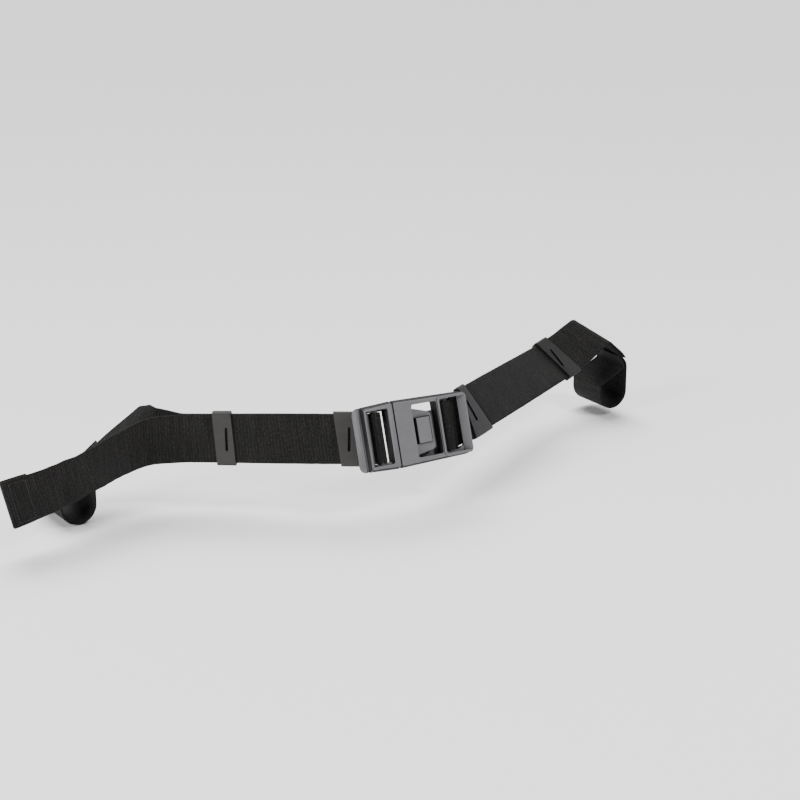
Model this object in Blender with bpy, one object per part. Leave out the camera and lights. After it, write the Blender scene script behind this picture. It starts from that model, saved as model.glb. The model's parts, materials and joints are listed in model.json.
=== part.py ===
"""Seat hip belt: two straps of webbing, a centre-release buckle and four keeper loops.

Every part is one closed body. Lengths are in metres. The belt is laid out over a seat plane:
x runs along the belt from its middle, y runs backwards from the buckle and z rises from the
seat. One shift then puts the origin at the middle of the frame tube that the right strap holds.
"""
import bpy
import math
from mathutils import Matrix, Vector

MM = 0.001

# Webbing. Its width sets the height of the buckle's openings and of the keepers.
WEB_WIDTH = 38 * MM
WEB_THICK = 1.5 * MM
LAYER_GAP = 0.8 * MM
LAYER_STEP = WEB_THICK + LAYER_GAP
FIT_GAP = 0.4 * MM

# Where the belt is held: a round tube under each rear corner of the seat.
TUBE_RADIUS = 12.5 * MM
LOOP_RADIUS = TUBE_RADIUS + FIT_GAP + WEB_THICK / 2
RIGHT_TUBE = Vector((241, 104, -16)) * MM
LEFT_TUBE = Vector((-250, 120, -22)) * MM

# How far above the tube's middle the returning end bends over towards its strap.
REJOIN_RISE = 8.5 * MM

# The buckle, measured along it from the free end of the plug.
BUCKLE_LEAN = math.radians(19)
BUCKLE_TILT = math.radians(-1.3)
PLUG_LENGTH = 35.2 * MM
BUCKLE_LENGTH = 101 * MM
PARTING_GAP = 0.5 * MM
END_HALF_HEIGHT = 24.0 * MM
MID_HALF_HEIGHT = 25.6 * MM
RECEIVER_HALF_THICK = 5.0 * MM
PLUG_HALF_THICK = 4.6 * MM
SLOT_HALF_HEIGHT = WEB_WIDTH / 2 + 1.8 * MM
THROUGH_HALF_HEIGHT = WEB_WIDTH / 2 + FIT_GAP
SLOT_LEDGE_DEPTH = 2.8 * MM
RAIL_HALF_HEIGHT = SLOT_HALF_HEIGHT + 0.7 * MM
RIM_WIDTH = 2.2 * MM
RIM_RAISE = 0.7 * MM
RIM_CORNER = 3.0 * MM
RIM_INSET = 0.9 * MM
OUTER_CORNER = 4.5 * MM
PARTING_CORNER = 1.2 * MM
EDGE_ROUND = 0.6 * MM
DRAFT = 1.9 * MM
PLUG_OPENING = 6.4 * MM
RELIEF_LOWER_EDGE = 1.6 * MM - THROUGH_HALF_HEIGHT

# Cutters reach this far, past every face of the buckle.
CUT_REACH = 9 * MM
CUT_HALF_HEIGHT = MID_HALF_HEIGHT + 5 * MM

# The adjuster bars: round, so that the strap can swing on them.
BAR_RADIUS = 2.9 * MM
BAR_WIDTH = 2 * BAR_RADIUS
BAR_OUT = -0.2 * MM
WRAP_RADIUS = BAR_RADIUS + FIT_GAP + WEB_THICK / 2

# Each ladder as (end of its end bar, start of its adjuster bar), measured from its outer end.
RECEIVER_LADDER = (7.0 * MM, 16.1 * MM)
PLUG_LADDER = (14.2 * MM, 17.7 * MM)

# How much higher the tail turns out of the ladder than the load side.
TURN_RISE = 2.7 * MM

# The plug has a low shelf outside its rim.
SHELF_START = 1.5 * MM
SHELF_END = 9.8 * MM
SHELF_TOP = 0.2 * MM
SHELF_GROOVE = 0.9 * MM

# The receiver's plate, window and press latch.
PLATE_END = PLUG_LENGTH + 16.0 * MM
WINDOW_END = 73.5 * MM
WINDOW_HALF_HEIGHT = 20.0 * MM
LADDER_START = 76.0 * MM
TONGUE_END = 68.6 * MM
TONGUE_HALF_THICK = 2.2 * MM
TONGUE_HALF_HEIGHT = 18.4 * MM
TONGUE_ROOT = PLUG_LENGTH - 1.5 * MM
POCKET_HALF_HEIGHT = 18.9 * MM
POCKET_HALF_THICK = 2.7 * MM
WINDOW_CORNER = 1.4 * MM

# A thin floor closes the back of the window, except above the tongue.
FLOOR_TOP = -3.8 * MM
FLOOR_UPPER_EDGE = 13.4 * MM
LATCH_START = 53.6 * MM
LATCH_END = 66.6 * MM
LATCH_HALF_HEIGHT = 9.6 * MM
LATCH_HINGE = (LATCH_END, -0.6 * MM)
LATCH_TOP = RECEIVER_HALF_THICK - 0.2 * MM
LATCH_CLEARANCE = 0.4 * MM
LATCH_BACK = -1.6 * MM
LATCH_HEEL = 1.2 * MM
LATCH_EDGE_ROUND = 0.35 * MM

# Keeper loops.
KEEPER_LENGTH = 14 * MM
KEEPER_WALL = 1.0 * MM
KEEPER_GAP = 0.75 * MM
KEEPER_SLOT_INSET = 5 * MM
KEEPER_SLOT_WIDTH = 2 * MM
KEEPER_SLOT_HALF_HEIGHT = 9 * MM
KEEPER_STEPS = 8

# Sewing.
THREAD_RADIUS = 0.35 * MM
STITCH_ROW = 3.0 * MM
STITCH_MARGIN = 3.5 * MM
STITCH_STEPS = 10
HEM_LENGTH = 20 * MM

ORIGIN = RIGHT_TUBE

OUT = Vector((0, -math.cos(BUCKLE_LEAN), math.sin(BUCKLE_LEAN)))
ALONG = Matrix.Rotation(BUCKLE_TILT, 3, OUT) @ Vector((1, 0, 0))
UP = OUT.cross(ALONG)
BUCKLE_MIDDLE = Vector((-22.5, 0, 23)) * MM
BUCKLE_START = BUCKLE_MIDDLE - ALONG * (BUCKLE_LENGTH / 2)


def clear_scene():
    for item in list(bpy.data.objects):
        bpy.data.objects.remove(item, do_unlink=True)


def material(name, colour, roughness):
    made = bpy.data.materials.new(name)
    made.use_nodes = True
    shader = made.node_tree.nodes["Principled BSDF"]
    shader.inputs["Base Color"].default_value = (*colour, 1.0)
    shader.inputs["Roughness"].default_value = roughness
    return made


def buckle_point(along, up=0.0, out=0.0):
    """A point of the buckle in the layout: along it, up its height, out of its face."""
    return BUCKLE_START + ALONG * along + UP * up + OUT * out


def buckle_matrix(along, out=0.0):
    """The buckle's own axes, with their origin at one point of its middle line."""
    turn = Matrix((ALONG, UP, OUT)).transposed().to_4x4()
    return Matrix.Translation(buckle_point(along, 0.0, out) - ORIGIN) @ turn


def new_object(name, mesh, look, matrix):
    item = bpy.data.objects.new(name, mesh)
    bpy.context.scene.collection.objects.link(item)
    item.matrix_world = matrix
    if look is not None:
        mesh.materials.append(look)
    return item


def smooth(item):
    for face in item.data.polygons:
        face.use_smooth = True


# Solids of the buckle ------------------------------------------------------------------------

def closed_mesh(name, points, faces):
    """A mesh whose faces all look outwards."""
    mesh = bpy.data.meshes.new(name)
    mesh.from_pydata(points, [], faces)
    mesh.validate()
    mesh.update()
    if mesh_volume(mesh) < 0:
        mesh.flip_normals()
    return mesh


def mesh_volume(mesh):
    total = 0.0
    for face in mesh.polygons:
        first = mesh.vertices[face.vertices[0]].co
        for a, b in zip(face.vertices[1:], face.vertices[2:]):
            total += first.dot(mesh.vertices[a].co.cross(mesh.vertices[b].co)) / 6
    return total


def prism(outline, low, high, shift=(0.0, 0.0)):
    """A closed mesh from a flat outline, drawn out from one height to another."""
    count = len(outline)
    points = [(x - shift[0], y, low - shift[1]) for x, y in outline]
    points += [(x - shift[0], y, high - shift[1]) for x, y in outline]
    faces = [tuple(reversed(range(count))), tuple(range(count, 2 * count))]
    for i in range(count):
        j = (i + 1) % count
        faces.append((i, j, count + j, count + i))
    return closed_mesh("prism", points, faces)


def profile_prism(profile, half_height, shift=(0.0, 0.0)):
    """A closed mesh from an outline in the along and out directions, drawn up the height."""
    count = len(profile)
    points = [(x - shift[0], -half_height, z - shift[1]) for x, z in profile]
    points += [(x - shift[0], half_height, z - shift[1]) for x, z in profile]
    faces = [tuple(range(count)), tuple(reversed(range(count, 2 * count)))]
    for i in range(count):
        j = (i + 1) % count
        faces.append((j, i, count + i, count + j))
    return closed_mesh("profile", points, faces)


def rounded_outline(corners, radii, steps=4):
    """An outline going anticlockwise with each corner rounded to its own radius."""
    points = []
    count = len(corners)
    for i, corner in enumerate(corners):
        here = Vector(corner)
        back = (Vector(corners[i - 1]) - here).normalized()
        on = (Vector(corners[(i + 1) % count]) - here).normalized()
        if radii[i] <= 0:
            points.append(tuple(here))
            continue
        half = back.angle(on) / 2
        reach = radii[i] / math.tan(half)
        centre = here + (back + on).normalized() * (radii[i] / math.sin(half))
        start = here + back * reach - centre
        end = here + on * reach - centre
        turn = start.angle_signed(end)
        for step in range(steps + 1):
            part = -turn * step / steps
            c, s = math.cos(part), math.sin(part)
            turned = Vector((c * start.x - s * start.y, s * start.x + c * start.y))
            points.append(tuple(centre + turned))
    return points


def box_outline(x0, x1, half, radius=0.0, steps=4):
    corners = [(x0, -half), (x1, -half), (x1, half), (x0, half)]
    return rounded_outline(corners, [radius] * 4, steps)


def boolean(item, mesh, matrix, kind):
    """Joins a solid to an item, or cuts it away, and keeps the solid as a hidden helper."""
    helper = new_object("helper_" + item.name, mesh, None, matrix)
    helper.hide_render = True
    helper.display_type = "WIRE"
    step = item.modifiers.new(kind, "BOOLEAN")
    step.operation = kind
    step.solver = "EXACT"
    step.object = helper
    return helper


def rounded_edges(item, width):
    """Rounds every edge but the parting line round the middle of a drafted wall."""
    bevel = item.modifiers.new("soft_edges", "BEVEL")
    bevel.width = width
    bevel.segments = 2
    bevel.limit_method = "ANGLE"
    bevel.angle_limit = math.radians(50)


def from_end(distance, is_receiver):
    """Turns a distance from a buckle half's outer end into one along the buckle."""
    return BUCKLE_LENGTH - distance if is_receiver else distance


def stretch(start, end, is_receiver):
    ends = [from_end(start, is_receiver), from_end(end, is_receiver)]
    return min(ends), max(ends)


def ladder_of(is_receiver):
    return RECEIVER_LADDER if is_receiver else PLUG_LADDER


def bar_axis(is_receiver):
    """Where along the buckle the strap turns round its bar."""
    return from_end(ladder_of(is_receiver)[1] + BAR_WIDTH / 2, is_receiver)


def ladder_cuts(item, matrix, shift, is_receiver, rim_start, thick, opening_end, relief_top):
    """Cuts the strap opening of one buckle half and slopes its end bar."""
    end_bar = ladder_of(is_receiver)[0]
    x0, x1 = stretch(end_bar, opening_end, is_receiver)
    # The opening is stepped: wide at the front, and just clear of the webbing behind.
    wide = box_outline(x0, x1, SLOT_HALF_HEIGHT, PARTING_CORNER)
    boolean(item, prism(wide, thick - SLOT_LEDGE_DEPTH, CUT_REACH, shift), matrix, "DIFFERENCE")
    through = [(x0, -THROUGH_HALF_HEIGHT), (x1, -THROUGH_HALF_HEIGHT), (x1, THROUGH_HALF_HEIGHT),
               (x0, THROUGH_HALF_HEIGHT)]
    if is_receiver:
        through = rising_opening(x0, x1)
    boolean(item, prism(through, -CUT_REACH, CUT_REACH, shift), matrix, "DIFFERENCE")
    # The end bar's front falls away from the rim down to the opening.
    past_bar = end_bar + 1 * MM
    slope = [(past_bar, CUT_REACH), (rim_start, CUT_REACH), (rim_start, thick + 0.2 * MM),
             (past_bar, 0.6 * MM)]
    slope = [(from_end(x, is_receiver), z) for x, z in slope]
    boolean(item, profile_prism(slope, SLOT_HALF_HEIGHT, shift), matrix, "DIFFERENCE")
    # Its back is relieved, so that the strap can leave behind it and swing.
    past_swing = end_bar + 2.4 * MM
    outside = -2 * MM
    relief = [(outside, -CUT_REACH), (past_swing, -CUT_REACH), (past_swing, -2.6 * MM),
              (past_bar, relief_top), (end_bar - 3.2 * MM, -2.0 * MM), (outside, -2.4 * MM)]
    relief = [(from_end(x, is_receiver), z) for x, z in relief]
    # The receiver's strap climbs, so the corner below it stays closed.
    climb = RELIEF_LOWER_EDGE + CUT_HALF_HEIGHT if is_receiver else 0.0
    raised = matrix @ Matrix.Translation((0, climb, 0))
    boolean(item, profile_prism(relief, CUT_HALF_HEIGHT, shift), raised, "DIFFERENCE")


def rising_opening(x0, x1):
    """The receiver's strap climbs as it leaves, and its opening follows it past the bar."""
    half = THROUGH_HALF_HEIGHT
    past_bar = bar_axis(True) + BAR_RADIUS
    return [(x0, -half), (past_bar + 2.6 * MM, -half), (x1, -half + 2.6 * MM), (x1, SLOT_HALF_HEIGHT),
            (past_bar + 0.6 * MM, SLOT_HALF_HEIGHT), (past_bar, half), (x0, half)]


def adjuster_bar(item, matrix, shift, is_receiver):
    start = ladder_of(is_receiver)[1]
    x0, x1 = stretch(start, start + BAR_WIDTH, is_receiver)
    low, high = BAR_OUT - BAR_RADIUS, BAR_OUT + BAR_RADIUS
    corners = [(x0, low), (x1, low), (x1, high), (x0, high)]
    nearly_round = 0.98 * BAR_RADIUS
    profile = rounded_outline(corners, [nearly_round] * 4, 5)
    boolean(item, profile_prism(profile, RAIL_HALF_HEIGHT, shift), matrix, "UNION")


def half_outline(outer, parting, inset):
    """One buckle half seen from the front, with large corners at its outer end."""
    end, middle = END_HALF_HEIGHT - inset, MID_HALF_HEIGHT - inset
    outer -= math.copysign(inset, outer - parting)
    corners = [(outer, -end), (parting, -middle), (parting, middle), (outer, end)]
    radii = [OUTER_CORNER, PARTING_CORNER, PARTING_CORNER, OUTER_CORNER]
    if parting < outer:
        corners.reverse()
        radii.reverse()
    return rounded_outline(corners, radii, 5)


def drafted_body(outer, parting, back, front, shift):
    """A buckle half whose side walls slope in from its middle to its front and its back."""
    heights = (back, 0.0, front)
    insets = (DRAFT, 0.0, DRAFT)
    rings = [half_outline(outer, parting, inset) for inset in insets]
    count = len(rings[0])
    points = [(x - shift[0], y, z - shift[1]) for ring, z in zip(rings, heights) for x, y in ring]
    faces = [tuple(reversed(range(count))), tuple(range(2 * count, 3 * count))]
    for low in (0, count):
        for i in range(count):
            j = (i + 1) % count
            faces.append((low + i, low + j, low + count + j, low + count + i))
    return closed_mesh("drafted", points, faces)


def raised_rim(item, matrix, shift, start, end, face):
    """The frame round a ladder that stands proud of the half's face."""
    outline = box_outline(start, end, SLOT_HALF_HEIGHT + RIM_WIDTH, RIM_CORNER)
    boolean(item, prism(outline, 0.0, face + RIM_RAISE, shift), matrix, "UNION")


def make_receiver(look):
    """The socket half: plate, window over the latch and the right strap's ladder."""
    start = PLUG_LENGTH + PARTING_GAP
    pivot = (bar_axis(True), BAR_OUT)
    matrix = buckle_matrix(*pivot)
    face = RECEIVER_HALF_THICK - RIM_RAISE
    body = drafted_body(BUCKLE_LENGTH, start, -RECEIVER_HALF_THICK, face, pivot)
    item = new_object("receiver", body, look, matrix)
    rounded_edges(item, EDGE_ROUND)
    raised_rim(item, matrix, pivot, WINDOW_END + 0.6 * MM, BUCKLE_LENGTH - RIM_INSET, face)
    pocket = box_outline(start - 2 * MM, PLATE_END + 2 * MM, POCKET_HALF_HEIGHT)
    boolean(item, prism(pocket, -POCKET_HALF_THICK, POCKET_HALF_THICK, pivot), matrix, "DIFFERENCE")
    window = box_outline(PLATE_END, WINDOW_END, WINDOW_HALF_HEIGHT, WINDOW_CORNER)
    boolean(item, prism(window, -CUT_REACH, CUT_REACH, pivot), matrix, "DIFFERENCE")
    lower = -WINDOW_HALF_HEIGHT - 0.5 * MM
    x0, x1 = PLATE_END - 1 * MM, WINDOW_END + 0.5 * MM
    floor = [(x0, lower), (x1, lower), (x1, FLOOR_UPPER_EDGE), (x0, FLOOR_UPPER_EDGE)]
    boolean(item, prism(floor, -RECEIVER_HALF_THICK, FLOOR_TOP, pivot), matrix, "UNION")
    rim_start = 1.9 * MM
    ladder_cuts(item, matrix, pivot, True, rim_start, RECEIVER_HALF_THICK,
                BUCKLE_LENGTH - LADDER_START, -0.6 * MM)
    adjuster_bar(item, matrix, pivot, True)
    return item


def make_plug(look):
    """The tongue half: the left strap's ladder and the flat tongue that enters the receiver."""
    pivot = (PLUG_LENGTH, 0.0)
    matrix = buckle_matrix(*pivot)
    face = PLUG_HALF_THICK - RIM_RAISE
    body = drafted_body(SHELF_START, PLUG_LENGTH, -PLUG_HALF_THICK, face, pivot)
    item = new_object("plug", body, look, matrix)
    rounded_edges(item, EDGE_ROUND)
    raised_rim(item, matrix, pivot, SHELF_END - 0.8 * MM, PLUG_LENGTH - 0.8 * MM, face)
    # The shelf is cut down with a groove where it meets the rim.
    groove = SHELF_TOP - SHELF_GROOVE
    shelf = [(-2 * MM, CUT_REACH), (-2 * MM, SHELF_TOP - 1.2 * MM), (SHELF_START + 1.5 * MM, SHELF_TOP),
             (SHELF_END - 2.6 * MM, SHELF_TOP), (SHELF_END - 1.8 * MM, groove),
             (SHELF_END - 0.6 * MM, groove), (SHELF_END, CUT_REACH)]
    boolean(item, profile_prism(shelf, CUT_HALF_HEIGHT, pivot), matrix, "DIFFERENCE")
    bar_end = PLUG_LADDER[1] + BAR_WIDTH
    ladder_cuts(item, matrix, pivot, False, SHELF_END + 1.6 * MM, PLUG_HALF_THICK,
                bar_end + PLUG_OPENING, 0.4 * MM)
    adjuster_bar(item, matrix, pivot, False)
    tongue = prism(tongue_outline(), -TONGUE_HALF_THICK, TONGUE_HALF_THICK, pivot)
    boolean(item, tongue, matrix, "UNION")
    hole = box_outline(PLATE_END + 0.9 * MM, LATCH_END + LATCH_CLEARANCE,
                       LATCH_HALF_HEIGHT + LATCH_CLEARANCE, LATCH_CLEARANCE)
    boolean(item, prism(hole, -CUT_REACH, CUT_REACH, pivot), matrix, "DIFFERENCE")
    return item


def tongue_outline():
    """The tongue seen from the front: its upper corner is cut away in one long curve."""
    corners = [(TONGUE_ROOT, -TONGUE_HALF_HEIGHT), (PLATE_END, -TONGUE_HALF_HEIGHT),
               (TONGUE_END, -15.0 * MM), (TONGUE_END, 12.6 * MM), (PLATE_END + 7 * MM, 15.6 * MM),
               (PLATE_END, 17.4 * MM), (TONGUE_ROOT, TONGUE_HALF_HEIGHT)]
    radii = [0, 1 * MM, 2.5 * MM, 5 * MM, 8 * MM, 1 * MM, 0]
    return rounded_outline(corners, radii, 4)


def make_latch(look):
    """The press block: its left face bears on the plate until it is pushed in."""
    matrix = buckle_matrix(*LATCH_HINGE)
    profile = [(LATCH_START, LATCH_BACK + 0.4 * MM), (LATCH_END - 2 * MM, LATCH_BACK),
               (LATCH_END, LATCH_BACK), (LATCH_END, LATCH_HEEL),
               (LATCH_END - LATCH_HEEL, LATCH_TOP - LATCH_HEEL / 2),
               (LATCH_END - LATCH_HEEL - 1 * MM, LATCH_TOP), (LATCH_START, LATCH_TOP)]
    mesh = profile_prism(profile, LATCH_HALF_HEIGHT, LATCH_HINGE)
    item = new_object("latch", mesh, look, matrix)
    rounded_edges(item, LATCH_EDGE_ROUND)
    return item


# Straps ----------------------------------------------------------------------------------------

def filleted(corners, step=4 * MM):
    """Rounds a bent line: corners are (point, width direction, radius). Returns close samples."""
    samples = []
    last = len(corners) - 1
    for i, (point, across, radius) in enumerate(corners):
        if i in (0, last) or radius <= 0:
            samples.append((point.copy(), across.normalized(), True))
            continue
        back = (corners[i - 1][0] - point).normalized()
        on = (corners[i + 1][0] - point).normalized()
        half = back.angle(on) / 2
        reach = radius / math.tan(half)
        middle = (back + on).normalized()
        centre = point + middle * (radius / math.sin(half))
        start = point + back * reach - centre
        side = (-middle - start.normalized() * (-middle).dot(start.normalized())).normalized()
        turn = math.pi - 2 * half
        count = max(3, math.ceil(turn / math.radians(16)))
        for k in range(count + 1):
            part = turn * k / count
            spot = centre + start * math.cos(part) + side * radius * math.sin(part)
            samples.append((spot, across.normalized(), k == count // 2))
    return refine(samples, step)


def refine(samples, step):
    """Adds points on the straights and turns the width direction evenly between corners."""
    points = [samples[0][0]]
    marks = [(0.0, samples[0][1])]
    travelled = 0.0
    for (a, _, _), (b, across, is_mark) in zip(samples, samples[1:]):
        gap = (b - a).length
        count = max(1, round(gap / step))
        for k in range(1, count + 1):
            points.append(a.lerp(b, k / count))
        travelled += gap
        if is_mark:
            marks.append((travelled, across))
    result = []
    travelled = 0.0
    for i, point in enumerate(points):
        if i:
            travelled += (point - points[i - 1]).length
        result.append((point, width_at(marks, travelled)))
    return result


def width_at(marks, distance):
    for (d0, w0), (d1, w1) in zip(marks, marks[1:]):
        if distance <= d1 + 1e-9:
            part = max(0.0, min(1.0, (distance - d0) / max(d1 - d0, 1e-9)))
            part = part * part * (3 - 2 * part)
            return w0.lerp(w1, part).normalized()
    return marks[-1][1]


def faced(samples):
    """Adds the way the webbing faces to each sample."""
    result = []
    for i, (point, across) in enumerate(samples):
        before = samples[max(i - 1, 0)][0]
        after = samples[min(i + 1, len(samples) - 1)][0]
        facing = (after - before).normalized().cross(across).normalized()
        result.append((point, across, facing))
    return result


def shifted(samples, distance):
    """The same run moved towards the way it faces."""
    return [(point + facing * distance, across) for point, across, facing in samples]


def ribbon(name, samples, look, pivot):
    """Sweeps a soft-edged strip of webbing along the samples."""
    half, thick, soft = WEB_WIDTH / 2, WEB_THICK / 2, 0.45 * MM
    section = [(-half + soft, -thick), (0.0, -thick), (half - soft, -thick), (half, -thick + soft),
               (half, thick - soft), (half - soft, thick), (0.0, thick), (-half + soft, thick),
               (-half, thick - soft), (-half, -thick + soft)]
    count = len(section)
    points, faces = [], []
    run = faced(samples)
    for point, across, facing in run:
        for w, t in section:
            points.append(tuple(point + across * w + facing * t - pivot))
    for ring in range(len(run) - 1):
        for i in range(count):
            j = (i + 1) % count
            faces.append((ring * count + i, ring * count + j, (ring + 1) * count + j,
                          (ring + 1) * count + i))
    faces.append(tuple(reversed(range(count))))
    faces.append(tuple((len(run) - 1) * count + i for i in range(count)))
    item = new_object(name, closed_mesh(name, points, faces), look, Matrix.Translation(pivot - ORIGIN))
    smooth(item)
    return item


def bar_wrap(is_receiver, heading):
    """The turn of the strap round an adjuster bar, from its tail side to its load side."""
    middle = ladder_of(is_receiver)[1] + BAR_RADIUS
    outer, inner = middle - WRAP_RADIUS, middle + WRAP_RADIUS
    high, low = BAR_OUT + WRAP_RADIUS, BAR_OUT - WRAP_RADIUS
    run_out = abs(heading.dot(OUT))
    run_along = abs(heading.dot(ALONG))
    length = math.hypot(run_out, run_along)
    # The load side bends one layer step behind the tail side.
    load_turn = outer - (LAYER_STEP * length - TURN_RISE * run_along) / run_out
    spots = [(outer, low + TURN_RISE), (outer, high), (inner, high), (inner, low), (load_turn, low)]
    round_bar = WRAP_RADIUS * 0.99
    radii = (1.6 * MM, round_bar, round_bar, round_bar, 1.6 * MM)
    return [(buckle_point(from_end(x, is_receiver), 0.0, z), UP, r) for (x, z), r in zip(spots, radii)]


def exit_point(is_receiver):
    """Where the middle of the two layers leaves the ladder."""
    low = BAR_OUT - WRAP_RADIUS
    along = ladder_of(is_receiver)[1] + BAR_RADIUS - WRAP_RADIUS
    return buckle_point(from_end(along, is_receiver), 0.0, low + TURN_RISE / 2)


def spot(x, y, z):
    return Vector((x, y, z)) * MM


def frame_loop(tube, above, layer):
    """Down beside the tube from a height above it, under it and up its other side.

    The line lies half a layer step off the load layer, inside it for -1 and outside it for 1.
    """
    across = Vector((0, 1, 0))
    radius = LOOP_RADIUS + layer * LAYER_STEP / 2
    out = Vector((radius, 0, 0))
    down = Vector((0, 0, -radius))
    return [(tube + out + Vector((0, 0, above)), across, 12 * MM),
            (tube + out + down, across, radius - 0.05 * MM),
            (tube - out + down, across, radius - 0.05 * MM),
            (tube - out + Vector((0, 0, REJOIN_RISE)), across, radius - 0.05 * MM)]


def strap_runs(at, straight_end, ways):
    """Runs that start just outside the ladder. Each way is a list of further corners."""
    start = exit_point(at)
    heading = (straight_end[0] - start).normalized()
    first = start + heading * 7 * MM
    return heading, [faced(filleted([(first, UP, 0), straight_end] + way)) for way in ways]


def returned_end(run, tube, side):
    """The webbing's own end, laid back up the inside of the run that comes down to the tube."""
    picked = [s for s in run if tube.z + 20 * MM < s[0].z < tube.z + 38 * MM]
    picked = [s for s in picked if abs(s[0].x - tube.x) < 30 * MM]
    return list(reversed(shifted(picked, side * LAYER_STEP)))


LEFT_BEND = (spot(-168, 88, 20), Vector((-0.05, 0.05, 1.0)), 24 * MM)

LEFT_TAIL = [
    (spot(-194, 98, 20), Vector((0.0, -0.05, 1.0)), 26 * MM),
    (spot(-220, 91, 17), Vector((-0.18, -0.19, 0.96)), 40 * MM),
    (spot(-250, 81, 12), Vector((-0.27, -0.25, 0.93)), 40 * MM),
    (spot(-286, 73, 7), Vector((-0.25, -0.15, 0.95)), 40 * MM),
    (spot(-317, 69, 4), Vector((-0.23, 0.0, 0.97)), 0),
]

LEFT_RIDGE = [
    (spot(-183, 104, 22), Vector((0.10, 0.16, 0.98)), 8 * MM),
    (spot(-196, 117, 28), Vector((0.60, 0.56, 0.57)), 5 * MM),
]

RIGHT_BEND = (spot(49, 14, 27), Vector((-0.346, 0.528, 0.77)), 12 * MM)

RIGHT_RUN = [
    (spot(176, 92, 19), Vector((-0.47, 0.58, 0.66)), 30 * MM),
    (spot(202, 97, 26), Vector((-0.52, 0.58, 0.62)), 30 * MM),
    (spot(227, 101, 37), Vector((-0.64, 0.58, 0.50)), 6 * MM),
]


def hem(samples, side, length):
    """Folds the last of a tail under itself."""
    tail = samples[-1]
    back = [s for s in samples[:-1] if (s[0] - tail[0]).length < length and
            (s[0] - tail[0]).length > 3 * MM]
    fold = shifted(faced(list(reversed(back))), side * LAYER_STEP)
    return fold


def keeper(name, run, distance, look):
    """A moulded loop that follows both layers, slotted through its front wall."""
    centre, across, facing = along_run(run, distance)
    ahead = along_run(run, distance + 1 * MM)[0]
    way = (ahead - centre).normalized()
    flip = 1 if facing.dot(OUT) > 0 else -1
    turn = Matrix((way * flip, across, facing * flip))
    across = turn[2].cross(turn[0]).normalized()
    facing = turn[0].cross(across)
    turn = Matrix((turn[0], across, facing)).transposed().to_4x4()
    matrix = Matrix.Translation(centre - ORIGIN) @ turn
    inner = keeper_section(0.0)
    outer = keeper_section(KEEPER_WALL)
    rings = []
    for k in range(KEEPER_STEPS + 1):
        offset = KEEPER_LENGTH * (k / KEEPER_STEPS - 0.5) * flip
        spot_here, up_here, face_here = along_run(run, distance + offset)
        face_here = face_here.normalized() * flip
        up_here = up_here.normalized()
        for section in (outer, inner):
            rings.append([matrix.inverted() @ (spot_here - ORIGIN + up_here * w + face_here * t)
                          for w, t in section])
    item = new_object(name, sleeve_mesh(rings), look, matrix)
    middle = -flip * (KEEPER_LENGTH / 2 - KEEPER_SLOT_INSET)
    half = KEEPER_SLOT_WIDTH / 2
    slot = box_outline(middle - half, middle + half, KEEPER_SLOT_HALF_HEIGHT, 0.9 * half)
    boolean(item, prism(slot, WEB_THICK, CUT_REACH), matrix, "DIFFERENCE")
    return item


def keeper_section(wall):
    """A rounded ring section round both layers, with its wall added outside."""
    half = WEB_WIDTH / 2 + KEEPER_GAP + wall
    thick = LAYER_STEP / 2 + WEB_THICK / 2 + KEEPER_GAP + wall
    corners = [(-half, -thick), (half, -thick), (half, thick), (-half, thick)]
    return rounded_outline(corners, [0.6 * MM + wall] * 4, 4)


def sleeve_mesh(rings):
    """A closed sleeve from pairs of outer and inner rings, drawn along the strap."""
    count = len(rings[0])
    points = [tuple(p) for ring in rings for p in ring]
    faces = []
    last = len(rings) // 2 - 1
    for i in range(count):
        j = (i + 1) % count
        for pair in range(last):
            o, n = pair * 2 * count, (pair + 1) * 2 * count
            faces.append((o + i, o + j, n + j, n + i))
            faces.append((o + count + j, o + count + i, n + count + i, n + count + j))
        end = last * 2 * count
        faces.append((j, i, count + i, count + j))
        faces.append((end + i, end + j, end + count + j, end + count + i))
    return closed_mesh("sleeve", points, faces)


def thread(name, points, look, pivot, radius=THREAD_RADIUS):
    """One sewing thread lying on the webbing, as a closed six-sided cord."""
    sides = 6
    rings = []
    for i, point in enumerate(points):
        way = (points[min(i + 1, len(points) - 1)] - points[max(i - 1, 0)]).normalized()
        side = way.cross(Vector((0.31, 0.17, 0.94))).normalized()
        top = side.cross(way)
        rings.append([point + (side * math.cos(a) + top * math.sin(a)) * radius for a in
                      (2 * math.pi * k / sides for k in range(sides))])
    verts = [tuple(p - pivot) for ring in rings for p in ring]
    faces = []
    for r in range(len(rings) - 1):
        for k in range(sides):
            j = (k + 1) % sides
            faces.append((r * sides + k, r * sides + j, (r + 1) * sides + j, (r + 1) * sides + k))
    faces.append(tuple(reversed(range(sides))))
    faces.append(tuple((len(rings) - 1) * sides + k for k in range(sides)))
    item = new_object(name, closed_mesh(name, verts, faces), look, Matrix.Translation(pivot - ORIGIN))
    smooth(item)
    return item


def along_run(run, distance):
    """The point, width direction and facing at a distance along a run."""
    travelled = 0.0
    for a, b in zip(run, run[1:]):
        gap = (b[0] - a[0]).length
        if travelled + gap >= distance:
            part = (distance - travelled) / gap
            return [a[k].lerp(b[k], part) for k in range(3)]
        travelled += gap
    return list(run[-1])


def sewn_rows(name, run, start, rows, side, look, pivot, pitch=STITCH_ROW):
    """Rows of sewing to and fro across the webbing, as one thread on one of its faces."""
    half = WEB_WIDTH / 2 - STITCH_MARGIN
    lift = side * (WEB_THICK / 2 + THREAD_RADIUS + FIT_GAP)
    points = []
    for row in range(rows):
        steps = [-half + 2 * half * k / STITCH_STEPS for k in range(STITCH_STEPS + 1)]
        if row % 2:
            steps.reverse()
        for w in steps:
            point, across, facing = along_run(run, start + row * pitch)
            points.append(point + across.normalized() * w + facing.normalized() * lift)
    return thread(name, points, look, pivot)


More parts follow.
